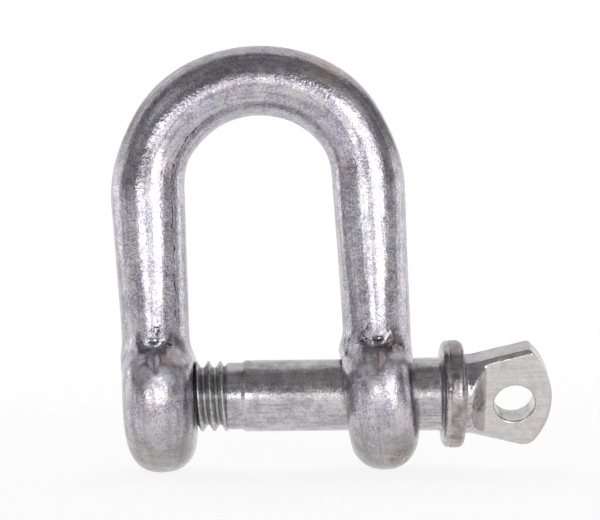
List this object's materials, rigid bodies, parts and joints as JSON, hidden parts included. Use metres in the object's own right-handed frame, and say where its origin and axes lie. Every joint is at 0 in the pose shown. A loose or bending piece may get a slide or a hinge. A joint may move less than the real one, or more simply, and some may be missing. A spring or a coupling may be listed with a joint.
{
  "type": "dee shackle with screw pin",
  "caption": "Galvanised dee shackle: a forged D-shaped bow closed by a screw pin with a collar and a flattened, pierced head.",
  "frame": {"origin": "on the pin's axis, midway between the inner faces of the two ears", "axes": "+X along the pin towards its head, +Z from the pin up to the crown, Y across the bow"},
  "size_m": [0.0585, 0.0198, 0.0566],
  "materials": {
    "bow_zinc": "zinc-coated forged steel, mottled and slightly dulled",
    "pin_zinc": "zinc-coated turned and forged steel, with a warm grey tint"
  },
  "bodies": {
    "shackle_bow": {"bow": "bow_zinc"},
    "pin_carriage": {"pin_collar": "pin_zinc"},
    "pin": {"screw_pin": "pin_zinc"}
  },
  "joints": [
    {"name": "pin_travel", "type": "slide", "parent": "shackle_bow", "child": "pin_carriage", "axis": [1, 0, 0], "range_m": [-0.00285, 0.0067]},
    {"name": "pin_turn", "type": "hinge", "parent": "pin_carriage", "child": "pin", "pos_m": [0, 0, 0], "axis": [1, 0, 0], "range_deg": [-648, 1521]}
  ],
  "couplings": [
    {"joint": "pin_turn", "follows": "pin_travel", "rad_per_m": 3957.9}
  ]
}
